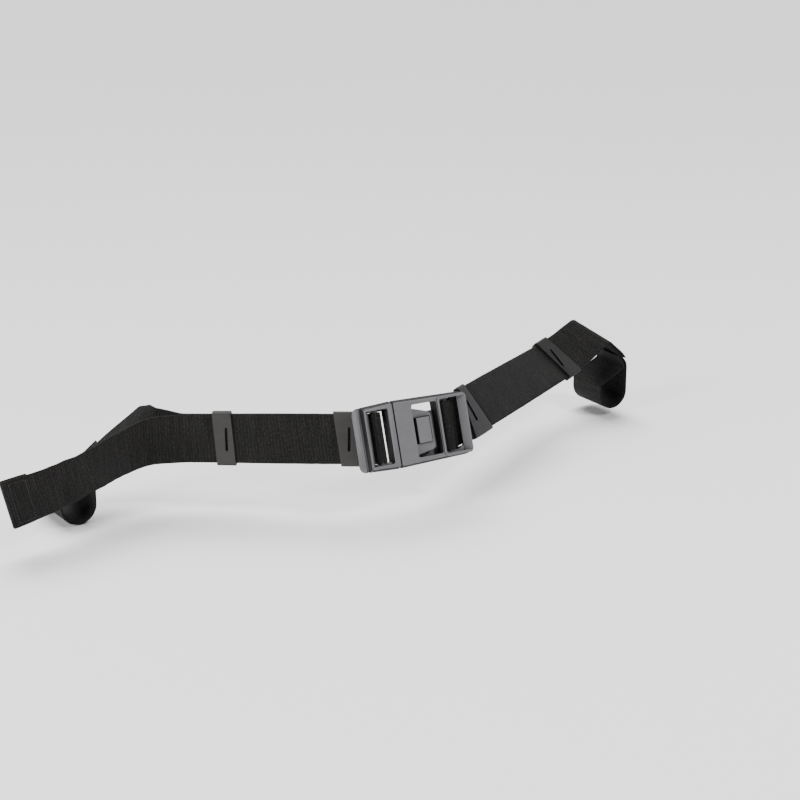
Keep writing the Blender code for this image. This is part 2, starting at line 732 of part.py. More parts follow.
def run_length(run):
    return sum((b[0] - a[0]).length for a, b in zip(run, run[1:]))


def make_left(webbing, sewing):
    to_tube = LEFT_RIDGE + frame_loop(LEFT_TUBE, 18 * MM, -1)
    heading, runs = strap_runs(False, LEFT_BEND, [LEFT_TAIL, to_tube])
    tail, load = runs
    wrap = filleted([shifted(tail[:1], side_of(tail, 1))[0] + (0,)] + bar_wrap(False, heading)
                    + [shifted(load[:1], side_of(load, -1))[0] + (0,)], 3 * MM)
    tail_layer = shifted(tail, side_of(tail, 1))
    load_layer = shifted(load, side_of(load, -1))
    fold = hem(tail_layer, side_sign(tail), HEM_LENGTH)
    end = returned_end(faced(load_layer), LEFT_TUBE, loop_side(load, LEFT_TUBE))
    samples = list(reversed(fold)) + list(reversed(tail_layer))[0:-1] + wrap + load_layer[1:] + end
    pivot = buckle_point(bar_axis(False), 0.0, BAR_OUT)
    ribbon("left_webbing", samples, webbing, pivot)
    run = faced(tail_layer)
    pitch = HEM_LENGTH - 2 * STITCH_ROW
    start = run_length(run) - HEM_LENGTH + STITCH_ROW
    sewn_rows("tail_hem_stitching", run, start, 2, side_sign(tail), sewing, pivot, pitch)
    run = faced(load_layer)
    sewn_rows("left_loop_stitching", run, height_at(run, LEFT_TUBE.z + 32 * MM), 4,
              -loop_side(load, LEFT_TUBE), sewing, pivot)
    return load


def side_sign(run):
    return 1 if run[0][2].dot(OUT) > 0 else -1


def side_of(run, layer):
    """Half a layer step towards the front for the tail layer, to the back for the load layer."""
    return layer * side_sign(run) * LAYER_STEP / 2


def loop_side(run, tube):
    """Which way is inwards, towards the tube, for the run that comes down beside it."""
    for point, _, facing in run:
        if abs(point.z - tube.z) < 3 * MM:
            return 1 if facing.dot(tube - point) > 0 else -1
    return 1


def height_at(run, height):
    """How far along a run it first comes down to a height."""
    top = max(range(len(run)), key=lambda i: run[i][0].z)
    travelled = 0.0
    for i, (a, b) in enumerate(zip(run, run[1:])):
        if i >= top and b[0].z < height:
            return travelled
        travelled += (b[0] - a[0]).length
    return travelled


def make_right(webbing, sewing):
    heading, runs = strap_runs(True, RIGHT_BEND, [RIGHT_RUN + frame_loop(RIGHT_TUBE, 25 * MM, 1)])
    load = runs[0]
    load_layer = shifted(load, side_of(load, -1))
    tail_layer = shifted(load, side_of(load, 1))
    ridge = max(range(len(tail_layer)), key=lambda i: tail_layer[i][0].z)
    tail_layer = [s for i, s in enumerate(tail_layer) if i <= ridge or s[0].z > RIGHT_TUBE.z + 30 * MM]
    wrap = filleted([tail_layer[0] + (0,)] + bar_wrap(True, heading) + [load_layer[0] + (0,)], 3 * MM)
    end = returned_end(faced(load_layer), RIGHT_TUBE, loop_side(load, RIGHT_TUBE))
    samples = list(reversed(tail_layer))[0:-1] + wrap + load_layer[1:] + end
    pivot = Vector(RIGHT_TUBE)
    ribbon("right_webbing", samples, webbing, pivot)
    run = faced(tail_layer)
    sewn_rows("right_tail_stitching", run, run_length(run) - 6 * MM, 2, side_sign(load), sewing, pivot)
    return load


def main():
    clear_scene()
    webbing = material("webbing_black", (0.018, 0.018, 0.019), 0.85)
    moulding = material("buckle_plastic", (0.05, 0.051, 0.054), 0.42)
    keeper_look = material("keeper_plastic", (0.075, 0.073, 0.07), 0.5)
    sewing = material("sewing_thread", (0.03, 0.03, 0.031), 0.7)
    make_receiver(moulding)
    make_plug(moulding)
    make_latch(moulding)
    left_load = make_left(webbing, sewing)
    right_load = make_right(webbing, sewing)
    keeper("left_inner_keeper", left_load, 11 * MM, keeper_look)
    keeper("left_outer_keeper", left_load, 103 * MM, keeper_look)
    keeper("right_inner_keeper", right_load, 20.5 * MM, keeper_look)
    keeper("right_outer_keeper", right_load, 190 * MM, keeper_look)


main()
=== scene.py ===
"""Looks for the seat hip belt: woven straps, sewing, moulded buckle and keepers, floor, light.

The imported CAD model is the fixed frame. Each strap is drawn again along the same path as its CAD
solid, at the fineness of the webbing. Lengths are in metres.
"""
import bpy
import json
import math
import bmesh
from mathutils import Matrix, Vector, noise


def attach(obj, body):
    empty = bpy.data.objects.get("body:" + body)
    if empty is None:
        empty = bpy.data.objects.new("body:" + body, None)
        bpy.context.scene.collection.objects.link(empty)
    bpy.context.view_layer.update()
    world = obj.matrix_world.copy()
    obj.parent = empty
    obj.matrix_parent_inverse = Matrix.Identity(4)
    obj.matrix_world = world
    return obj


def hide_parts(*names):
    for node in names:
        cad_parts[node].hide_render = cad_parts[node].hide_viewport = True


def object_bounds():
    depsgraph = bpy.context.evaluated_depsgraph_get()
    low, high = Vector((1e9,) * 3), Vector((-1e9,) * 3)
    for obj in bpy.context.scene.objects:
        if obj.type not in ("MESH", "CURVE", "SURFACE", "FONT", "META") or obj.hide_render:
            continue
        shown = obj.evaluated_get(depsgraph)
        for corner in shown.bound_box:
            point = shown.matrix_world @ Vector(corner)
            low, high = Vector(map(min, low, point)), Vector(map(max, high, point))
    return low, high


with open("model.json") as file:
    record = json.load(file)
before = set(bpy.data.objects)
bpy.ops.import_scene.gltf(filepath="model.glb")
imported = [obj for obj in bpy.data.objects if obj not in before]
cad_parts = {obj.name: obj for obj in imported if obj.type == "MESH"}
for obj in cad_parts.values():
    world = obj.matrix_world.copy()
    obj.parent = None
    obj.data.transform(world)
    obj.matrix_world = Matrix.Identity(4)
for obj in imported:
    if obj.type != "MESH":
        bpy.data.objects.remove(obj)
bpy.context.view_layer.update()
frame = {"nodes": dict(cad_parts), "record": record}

MM = 0.001

# Webbing, as in the CAD.
WEB_WIDTH = 38 * MM
WEB_THICK = 1.5 * MM
LAYER_STEP = 2.3 * MM
WRAP_RADIUS = 4.05 * MM
WRAP_BEND = 0.99 * WRAP_RADIUS
WRAP_CORNER = 1.6 * MM
TURN_RISE = 2.7 * MM
START_RUN = 7 * MM
LOOP_RADIUS = 13.65 * MM
LOOP_ENTRY_BEND = 12 * MM
LOOP_BEND_TRIM = 0.05 * MM
REJOIN_RISE = 8.5 * MM
HEM_LENGTH = 20 * MM
TAIL_EASING = 6

# Heights above a tube's axis, and how near to it the webbing's own end lies.
LEFT_LOOP_TOP = 18 * MM
RIGHT_LOOP_TOP = 25 * MM
RIGHT_TAIL_END = 30 * MM
LEFT_SEAM_TOP = 36 * MM
RETURN_LOW = 20 * MM
RETURN_HIGH = 38 * MM
RETURN_REACH = 30 * MM
BESIDE_TUBE = 3 * MM

# How finely the straps are drawn.
STEP = 1.1 * MM
TURN_STEP = math.radians(7)
FACE_STEPS = 26
EDGE_STEPS = 4
FOLD_STEPS = 8

# Stretches of strap that keep to their run, because a keeper, a ladder or a loop holds them.
HEM_HOLD = 4 * MM
KEEPER_FROM_BAR = 103 * MM
KEEPER_HOLD = (14 * MM, 16 * MM)
LEFT_LADDER_HOLD = (22 * MM, 24 * MM)
LEFT_FREE_RUN = 82 * MM
RIGHT_LADDER_HOLD = 45 * MM
RIGHT_FREE_RUN = 160 * MM
FREE_BLEND = 6 * MM
PAST_END = 2.0

# Slow waves in the webbing, and the wander of its woven edges. Rates are per metre, and a slice is
# the place in the noise that is used, which is any fixed number.
WAVE_DEPTH = 0.12 * MM
WAVE_RATE_ALONG = 55
WAVE_RATE_ACROSS = 30
WAVE_SLICE = 4.2
EDGE_DEPTH = 0.16 * MM
EDGE_RATE = 130
EDGE_SPREAD = 7.7
EDGE_SLICE = 1.3

# Creases of the left tail, in millimetres: (distance past the hem, reach, depth, slant).
LEFT_CREASES = [
    (38, 2.6, 0.5, 0.3),
    (47, 2.2, -0.4, 0.25),
    (57, 3.0, 0.45, 0.2),
    (68, 2.4, -0.4, 0.1),
    (79, 3.2, 0.5, 0.0),
    (91, 2.6, -0.3, -0.1),
    (104, 3.4, 0.4, -0.1),
]

# Weave: yarns run along the strap, ribs run across it. Noise rates are per metre.
YARN = 0.95 * MM
YARN_SLANT = 0.12
RIB = 1.3 * MM
BROAD_RIB = 2.4 * MM
RIB_FADE_RATE = 60.0
STREAK_RATE = 420.0
STREAK_STRETCH = (1.0, 0.09, 1.0)
FLECK_RATE = 950.0
FLECK_STRETCH = (1.0, 0.6, 1.0)
WEAVE_HEIGHT = 0.6
RIB_HEIGHT = 0.6
STREAK_HEIGHT = 0.35
WEAVE_SHADE = 0.42
STREAK_SHADE = 0.38
RIB_SHADE = 0.26
WEAVE_BUMP = 0.7
WEAVE_DEPTH = 0.35 * MM
WEBBING_COLOURS = [
    (0.1, (0.0065, 0.0062, 0.0060)),
    (0.5, (0.0185, 0.0178, 0.0174)),
    (1.0, (0.060, 0.0585, 0.057)),
]
THREAD_COLOURS = [(0.2, (0.008, 0.008, 0.008)), (0.8, (0.03, 0.029, 0.028))]
THREAD_TWIST = 900.0
THREAD_BUMP = 0.5
THREAD_DEPTH = 0.08 * MM

# Sewing.
THREAD_RADIUS = 0.28 * MM
STITCH = 2.6 * MM
STITCH_GAP = 0.5 * MM
STITCH_SIDES = 8
SEAM_MARGIN = 3.2 * MM
HEM_SEAM_INSET = 3.4 * MM
LOOP_SEAM_LENGTH = 12 * MM
TAIL_SEAM_INSET = 3 * MM
TAIL_SEAM_LENGTH = 9 * MM

# A stitch's rings: (share of its length, height in millimetres, share of the thread's radius).
STITCH_PROFILE = [
    (0.0, -0.30, 0.45),
    (0.06, -0.05, 0.8),
    (0.25, 0.10, 1.0),
    (0.5, 0.14, 1.05),
    (0.75, 0.10, 1.0),
    (0.94, -0.05, 0.8),
    (1.0, -0.30, 0.45),
]

# Mouldings: how a copy of a CAD part is welded, flattened and given round edges.
WELD = 0.01 * MM
FLAT_ANGLE = math.radians(1.0)
EDGE_ANGLE = math.radians(32)
EDGE_SEGMENTS = 3
FLAT_WEIGHT = 95

# Plastics: (dark colour, light colour, roughness, strength of the grain, painted shade on the walls).
PLASTICS = {
    "satin_buckle_plastic": ((0.165, 0.165, 0.175), (0.195, 0.195, 0.207), 0.42, 0.25, 0.08),
    # The three keeper tones are painted light and shade: lit and shaded copies of one keeper plastic,
    # set apart by how light falls on each keeper. The darkest is painted shade.
    "keeper_plastic_painted_light_left": ((0.046, 0.0445, 0.0418), (0.060, 0.058, 0.0545), 0.5, 0.3, 0.5),
    "keeper_plastic_painted_light_right": ((0.048, 0.048, 0.050), (0.062, 0.062, 0.065), 0.5, 0.3, 0.5),
    "keeper_plastic_painted_shade": ((0.018, 0.018, 0.018), (0.026, 0.0255, 0.025), 0.5, 0.3, 0.7),
}
GRAIN_RATE = 2600.0
GRAIN_DEPTH = 0.05 * MM
FLOW_RATE = 45.0
FLOW_STRETCH = (1.0, 1.0, 2.2)
WEAR_RATE = 220.0
FLOW_SHARE = 0.7
GRAIN_SHARE = 0.3
WEAR_ROUGHNESS = 0.16
FLOW_ROUGHNESS = 0.08
MEAN_ROUGHNESS_ADDED = 0.12
# How far a face turns to OUT: the painted wall shade is full below the first value and gone above the
# second. Walls are also rougher.
PAINTED_SHADE_FULL_BELOW = 0.45
PAINTED_SHADE_GONE_ABOVE = 0.88
WALL_ROUGHNESS = 0.35

# Moulded pieces: (name, CAD node, edge rounding in millimetres, plastic, body, slot).
MOULDINGS = [
    ("receiver_moulding", "receiver", 0.3, "satin_buckle_plastic", "buckle_receiver", "buckle_plastic"),
    ("plug_moulding", "plug", 0.3, "satin_buckle_plastic", "buckle_plug", "buckle_plastic"),
    ("press_latch", "latch", 0.2, "satin_buckle_plastic", "buckle_latch", "buckle_plastic"),
    # The keepers' plastics are lit and shaded copies of one keeper plastic: painted light and shade.
    ("left_inner_keeper_loop", "left_inner_keeper", 0.25, "keeper_plastic_painted_light_left", "left_strap",
     "keeper_plastic"),
    ("left_outer_keeper_loop", "left_outer_keeper", 0.25, "keeper_plastic_painted_light_left", "left_keeper",
     "keeper_plastic"),
    ("right_inner_keeper_loop", "right_inner_keeper", 0.25, "keeper_plastic_painted_light_right", "right_strap",
     "keeper_plastic"),
    ("right_outer_keeper_loop", "right_outer_keeper", 0.25, "keeper_plastic_painted_shade", "right_keeper",
     "keeper_plastic"),
]

# Stage.
FLOOR_SIZE = 8.0
FLOOR_GAP = 0.6 * MM
FLOOR_COLOURS = [(0.3, (0.91, 0.91, 0.91)), (0.7, (0.93, 0.93, 0.93))]
FLOOR_CLOUD_RATE = 1.5
WORLD_STRENGTH = 0.06
BELT_MIDDLE = (-0.25, 0.0, 0.03)

# Area lights, all facing the belt: (name, place, size, power in watts, colour).
AREA_LIGHTS = [
    ("key", (0.40, -1.12, 1.27), (0.34, 0.34), 13, (1.0, 0.99, 0.98)),
    ("left_fill", (-2.1, -0.2, 0.8), (0.9, 0.7), 30, (1, 1, 1)),
    ("top", (-0.25, -0.1, 1.9), (1.4, 1.2), 4, (1, 1, 1)),
]
SUN_FROM = Vector((0.2, 1.0, 1.8))
SUN_ENERGY = 5.4
SUN_ANGLE = math.radians(50)

# Camera, fitted to the photograph's view of the belt.
CAMERA_PLACE = (-1.0433, -1.2890, 0.5333)
CAMERA_RIGHT = (0.8387, -0.5446, 0.0)
CAMERA_BACK = (-0.5171, -0.7962, 0.3140)
CAMERA_LENS = 90
CAMERA_SENSOR = 36


def record_joint(name):
    return next(j for j in frame["record"]["behaviour"]["joints"] if j["name"] == name)


UP = Vector(record_joint("left_bar_swing")["axis"]).normalized()
ALONG = -Vector(record_joint("plug_slide")["axis"]).normalized()
OUT = ALONG.cross(UP).normalized()
LEFT_BAR = Vector(record_joint("left_bar_swing")["pos_m"])
RIGHT_BAR = Vector(record_joint("right_bar_swing")["pos_m"])


def opening_middle(name):
    for opening in frame["record"]["physics"]["openings"]:
        if opening["name"] == name:
            low, high = opening["box_m"]
            return (Vector(low) + Vector(high)) / 2
    raise ValueError(name)


LEFT_TUBE = opening_middle("left_tube_way")
RIGHT_TUBE = opening_middle("right_tube_way")


def spot(x, y, z):
    return Vector((x, y, z)) * MM


# Each strap's route: (corner, direction of the webbing's width, bend radius).
LEFT_BEND = (spot(-409, -16, 36), Vector((-0.05, 0.05, 1.0)), 24 * MM)

LEFT_TAIL = [
    (spot(-435, -6, 36), Vector((0.0, -0.05, 1.0)), 26 * MM),
    (spot(-461, -13, 33), Vector((-0.18, -0.19, 0.96)), 40 * MM),
    (spot(-491, -23, 28), Vector((-0.27, -0.25, 0.93)), 40 * MM),
    (spot(-527, -31, 23), Vector((-0.25, -0.15, 0.95)), 40 * MM),
    (spot(-558, -35, 20), Vector((-0.23, 0.0, 0.97)), 0),
]

LEFT_RIDGE = [
    (spot(-424, 0, 38), Vector((0.10, 0.16, 0.98)), 8 * MM),
    (spot(-437, 13, 44), Vector((0.60, 0.56, 0.57)), 5 * MM),
]

RIGHT_BEND = (spot(-192, -90, 43), Vector((-0.346, 0.528, 0.77)), 12 * MM)

RIGHT_RIDGE = [
    (spot(-65, -12, 35), Vector((-0.47, 0.58, 0.66)), 30 * MM),
    (spot(-39, -7, 42), Vector((-0.52, 0.58, 0.62)), 30 * MM),
    (spot(-14, -3, 53), Vector((-0.64, 0.58, 0.50)), 6 * MM),
]


# Paths -----------------------------------------------------------------------------------------

def filleted(corners):
    """Rounds a bent line, given as (point, width direction, radius), into close samples."""
    samples = []
    last = len(corners) - 1
    for i, (point, across, radius) in enumerate(corners):
        if i in (0, last) or radius <= 0:
            samples.append((point.copy(), across.normalized(), True))
            continue
        back = (corners[i - 1][0] - point).normalized()
        on = (corners[i + 1][0] - point).normalized()
        half = back.angle(on) / 2
        reach = radius / math.tan(half)
        middle = (back + on).normalized()
        centre = point + middle * (radius / math.sin(half))
        start = point + back * reach - centre
        side = (-middle - start.normalized() * (-middle).dot(start.normalized())).normalized()
        turn = math.pi - 2 * half
        count = max(4, 2 * math.ceil(turn / TURN_STEP / 2))
        for k in range(count + 1):
            part = turn * k / count
            place = centre + start * math.cos(part) + side * radius * math.sin(part)
            samples.append((place, across.normalized(), k == count // 2))
    return refined(samples)


def refined(samples):
    """Adds points on the straights and turns the width direction evenly between corners."""
    points = [samples[0][0]]
    marks = [(0.0, samples[0][1])]
    travelled = 0.0
    for (a, _, _), (b, across, is_mark) in zip(samples, samples[1:]):
        gap = (b - a).length
        count = max(1, round(gap / STEP))
        for k in range(1, count + 1):
            points.append(a.lerp(b, k / count))
        travelled += gap
        if is_mark:
            marks.append((travelled, across))
    result = []
    travelled = 0.0
    for i, point in enumerate(points):
        if i:
            travelled += (point - points[i - 1]).length
        result.append((point, width_at(marks, travelled)))
    return result


def width_at(marks, distance):
    for (d0, w0), (d1, w1) in zip(marks, marks[1:]):
        if distance <= d1 + 1e-9:
            part = max(0.0, min(1.0, (distance - d0) / max(d1 - d0, 1e-9)))
            part = part * part * (3 - 2 * part)
            return w0.lerp(w1, part).normalized()
    return marks[-1][1]


def faced(samples):
    """Adds the way the webbing faces to each sample."""
    result = []
    for i, (point, across) in enumerate(samples):
        before = samples[max(i - 1, 0)][0]
        after = samples[min(i + 1, len(samples) - 1)][0]
        facing = (after - before).normalized().cross(across).normalized()
        result.append((point, across, facing))
    return result


def shifted(run, distance):
    return [(point + facing * distance, across) for point, across, facing in run]


def eased(samples, reach):
    """Averages each sample with its neighbours, so that bends run softly into each other."""
    result = []
    last = len(samples) - 1
    for i in range(len(samples)):
        span = min(reach, i, last - i)
        near = samples[i - span:i + span + 1]
        point = sum((s[0] for s in near), Vector()) / len(near)
        across = sum((s[1] for s in near), Vector()).normalized()
        result.append((point, across))
    return result


def run_length(run):
    return sum((b[0] - a[0]).length for a, b in zip(run, run[1:]))


def along_run(run, distance):
    """The point, width direction and facing at a distance along a run."""
    travelled = 0.0
    for a, b in zip(run, run[1:]):
        gap = (b[0] - a[0]).length
        if gap > 0 and travelled + gap >= distance:
            part = (distance - travelled) / gap
            return [a[k].lerp(b[k], part) for k in range(3)]
        travelled += gap
    return list(run[-1])


def side_sign(run):
    return 1 if run[0][2].dot(OUT) > 0 else -1


def strap_start(bar, outwards, bend):
    """Where the two layers leave the ladder, and the way they head."""
    start = bar + outwards * WRAP_RADIUS + OUT * (TURN_RISE / 2 - WRAP_RADIUS)
    heading = (bend[0] - start).normalized()
    return start + heading * START_RUN, heading


def bar_wrap(bar, outwards, heading):
    """The turn of the strap round an adjuster bar, from its tail side to its load side."""
    run_out = abs(heading.dot(OUT))
    run_along = abs(heading.dot(ALONG))
    length = math.hypot(run_out, run_along)
    turned = (LAYER_STEP * length - TURN_RISE * run_along) / run_out
    places = [(WRAP_RADIUS, TURN_RISE - WRAP_RADIUS), (WRAP_RADIUS, WRAP_RADIUS),
              (-WRAP_RADIUS, WRAP_RADIUS), (-WRAP_RADIUS, -WRAP_RADIUS),
              (WRAP_RADIUS + turned, -WRAP_RADIUS)]
    radii = (WRAP_CORNER, WRAP_BEND, WRAP_BEND, WRAP_BEND, WRAP_CORNER)
    return [(bar + outwards * x + OUT * z, UP, r) for (x, z), r in zip(places, radii)]


def joined_wrap(tail_layer, load_layer, corners):
    """The turn round the bar with the ends of both layers, rounded."""
    return filleted([tail_layer[0] + (0,)] + corners + [load_layer[0] + (0,)])


def frame_loop(tube, above, layer):
    """Down beside the tube from a height above it, under it and up its other side."""
    across = Vector((0, 1, 0))
    radius = LOOP_RADIUS + layer * LAYER_STEP / 2
    out = Vector((radius, 0, 0))
    down = Vector((0, 0, -radius))
    bend = radius - LOOP_BEND_TRIM
    return [
        (tube + out + Vector((0, 0, above)), across, LOOP_ENTRY_BEND),
        (tube + out + down, across, bend),
        (tube - out + down, across, bend),
        (tube - out + Vector((0, 0, REJOIN_RISE)), across, bend),
    ]


def loop_side(run, tube):
    """Which way is inwards, towards the tube, for the run that comes down beside it."""
    for point, _, facing in run:
        if abs(point.z - tube.z) < BESIDE_TUBE:
            return 1 if facing.dot(tube - point) > 0 else -1
    return 1


def returned_end(run, tube, side):
    """The webbing's own end, laid back up the inside of the run that comes down to the tube."""
    picked = [s for s in run if tube.z + RETURN_LOW < s[0].z < tube.z + RETURN_HIGH]
    picked = [s for s in picked if abs(s[0].x - tube.x) < RETURN_REACH]
    return list(reversed(shifted(picked, side * LAYER_STEP)))


def folded_end(tail, side):
    """A round fold at the tail's end and the layer that it brings back, for the hem."""
    run = faced(tail)
    end, across, facing = run[-1]
    way = (end - run[-2][0]).normalized()
    radius = LAYER_STEP / 2
    centre = end + facing * side * radius
    fold = []
    for k in range(1, FOLD_STEPS):
        turn = math.pi * k / FOLD_STEPS
        place = centre - facing * side * radius * math.cos(turn) + way * radius * math.sin(turn)
        fold.append((place, across))
    back = [s for s in run if (s[0] - end).length < HEM_LENGTH]
    return fold + list(reversed(shifted(back, side * LAYER_STEP)))


# Webbing ---------------------------------------------------------------------------------------

def section():
    """Half-round edges joined by flat faces, as (across, through) in metres."""
    half, thick = WEB_WIDTH / 2, WEB_THICK / 2
    flat = half - thick
    points = []
    for side in (-1, 1):
        for k in range(FACE_STEPS):
            points.append((-side * flat + side * 2 * flat * k / FACE_STEPS, side * thick))
        for k in range(EDGE_STEPS):
            turn = math.pi * k / EDGE_STEPS
            points.append((side * (flat + thick * math.sin(turn)), side * thick * math.cos(turn)))
    return points


def ripple(distance, across, creases):
    """How far the webbing stands out of its run: soft creases across it and slow waves."""
    height = 0.0
    for middle, reach, depth, slant in creases:
        off = (distance - middle - slant * across) / reach
        height += depth * math.exp(-off * off)
    wave = noise.noise(Vector((distance * WAVE_RATE_ALONG, across * WAVE_RATE_ACROSS, WAVE_SLICE)))
    return height + WAVE_DEPTH * wave


def edge_wander(distance, side):
    """The woven edges aren't quite straight."""
    return EDGE_DEPTH * noise.noise(Vector((distance * EDGE_RATE, EDGE_SPREAD * side, EDGE_SLICE)))


def webbing(name, samples, creases, look, fixed):
    """A strip of webbing along the samples, with its place along and across kept for the weave.

    Within a fixed stretch, given as (start, end) distances, the strip keeps to its run.
    """
    run = faced(samples)
    outline = section()
    count = len(outline)
    points, faces, places = [], [], []
    travelled = 0.0
    for i, (point, across, facing) in enumerate(run):
        if i:
            travelled += (point - run[i - 1][0]).length
        free = free_share(travelled, fixed)
        for w, t in outline:
            wander = math.copysign(edge_wander(travelled, math.copysign(1, w)), w)
            wide = w + free * wander * abs(2 * w / WEB_WIDTH)
            lift = t + free * ripple(travelled, w, creases)
            points.append(tuple(point + across * wide + facing * lift))
            places.append((travelled, w, math.copysign(1.0, t)))
    for ring in range(len(run) - 1):
        for i in range(count):
            j = (i + 1) % count
            a, b = ring * count, (ring + 1) * count
            faces.append((a + i, a + j, b + j, b + i))
    faces.append(tuple(reversed(range(count))))
    faces.append(tuple((len(run) - 1) * count + i for i in range(count)))
    mesh = bpy.data.meshes.new(name)
    mesh.from_pydata(points, [], faces)
    mesh.validate()
    place = mesh.attributes.new("strap_place", "FLOAT_VECTOR", "POINT")
    place.data.foreach_set("vector", [c for p in places for c in p])
    outward(mesh)
    mesh.shade_smooth()
    piece = linked(name, mesh, look)
    return piece, travelled


def free_share(distance, fixed):
    """0 inside a fixed stretch, 1 well away from it."""
    nearest = 1.0
    for start, end in fixed:
        gap = max(start - distance, distance - end, 0.0)
        nearest = min(nearest, gap / FREE_BLEND)
    return nearest * nearest * (3 - 2 * nearest)


def outward(mesh):
    """Turns every face outwards."""
    work = bmesh.new()
    work.from_mesh(mesh)
    bmesh.ops.recalc_face_normals(work, faces=work.faces)
    if work.calc_volume(signed=True) < 0:
        bmesh.ops.reverse_faces(work, faces=work.faces)
    work.to_mesh(mesh)
    work.free()


def linked(name, mesh, look):
    piece = bpy.data.objects.new(name, mesh)
    bpy.context.scene.collection.objects.link(piece)
    mesh.materials.append(look)
    return piece


# Sewing ----------------------------------------------------------------------------------------

def stitch(points, faces, a, b, lift):
    """One stitch from a to b: a short thread that dips into the webbing at both ends."""
    way = (b - a).normalized()
    side = way.cross(lift).normalized()
    start = len(points)
    for part, height, girth in STITCH_PROFILE:
        centre = a.lerp(b, part) + lift * height * MM
        for k in range(STITCH_SIDES):
            turn = 2 * math.pi * k / STITCH_SIDES
            ring = side * math.cos(turn) + lift * math.sin(turn)
            points.append(centre + ring * THREAD_RADIUS * girth)
    for r in range(len(STITCH_PROFILE) - 1):
        for k in range(STITCH_SIDES):
            j = (k + 1) % STITCH_SIDES
            row, on = start + r * STITCH_SIDES, start + (r + 1) * STITCH_SIDES
            faces.append((row + k, row + j, on + j, on + k))
    last_ring = start + (len(STITCH_PROFILE) - 1) * STITCH_SIDES
    faces.append(tuple(start + k for k in reversed(range(STITCH_SIDES))))
    faces.append(tuple(last_ring + k for k in range(STITCH_SIDES)))


def on_face(run, distance, across, side):
    point, width, facing = along_run(run, distance)
    return point + width.normalized() * across + facing.normalized() * side * WEB_THICK / 2


def seam(points, faces, run, corners, side):
    """Stitches along a line on one face, given as (distance, across) corners."""
    for (d0, w0), (d1, w1) in zip(corners, corners[1:]):
        count = max(1, round(math.hypot(d1 - d0, w1 - w0) / STITCH))
        for k in range(count):
            part0 = (k + STITCH_GAP / STITCH / 2) / count
            part1 = (k + 1 - STITCH_GAP / STITCH / 2) / count
            a = on_face(run, d0 + (d1 - d0) * part0, w0 + (w1 - w0) * part0, side)
            b = on_face(run, d0 + (d1 - d0) * part1, w0 + (w1 - w0) * part1, side)
            facing = along_run(run, d0 + (d1 - d0) * (part0 + part1) / 2)[2].normalized()
            stitch(points, faces, a, b, facing * side)


def sewn(name, seams, look):
    """A piece made of stitches. Each seam is (run, corners, side)."""
    points, faces = [], []
    for run, corners, side in seams:
        seam(points, faces, run, corners, side)
    mesh = bpy.data.meshes.new(name)
    mesh.from_pydata([tuple(p) for p in points], [], faces)
    outward(mesh)
    mesh.shade_smooth()
    return linked(name, mesh, look)


def sewn_box(start, end):
    """The corners of a seam round a rectangle of the webbing, between two distances."""
    half = WEB_WIDTH / 2 - SEAM_MARGIN
    return [(start, -half), (start, half), (end, half), (end, -half), (start, -half)]


# Moulded parts ---------------------------------------------------------------------------------

def softened(name, node, width, look, body):
    """A copy of a CAD part with its cut edges rounded, as a moulding has them."""
    mesh = frame["nodes"][node].data.copy()
    mesh.materials.clear()
    work = bmesh.new()
    work.from_mesh(mesh)
    bmesh.ops.remove_doubles(work, verts=work.verts, dist=WELD)
    bmesh.ops.dissolve_limit(work, angle_limit=FLAT_ANGLE, verts=work.verts, edges=work.edges)
    bmesh.ops.recalc_face_normals(work, faces=work.faces)
    work.to_mesh(mesh)
    work.free()
    mesh.shade_smooth()
    piece = linked(name, mesh, look)
    bevel = piece.modifiers.new("moulded_edges", "BEVEL")
    bevel.width = width
    bevel.segments = EDGE_SEGMENTS
    bevel.limit_method = "ANGLE"
    bevel.angle_limit = EDGE_ANGLE
    bevel.use_clamp_overlap = True
    flat_faces = piece.modifiers.new("flat_faces", "WEIGHTED_NORMAL")
    flat_faces.mode = "FACE_AREA"
    flat_faces.weight = FLAT_WEIGHT
    applied(piece)
    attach(piece, body)
    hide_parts(node)
    return piece


def applied(piece):
    """Makes a piece's modifiers part of its mesh."""
    graph = bpy.context.evaluated_depsgraph_get()
    mesh = bpy.data.meshes.new_from_object(piece.evaluated_get(graph))
    piece.modifiers.clear()
    piece.data = mesh


# Materials -------------------------------------------------------------------------------------

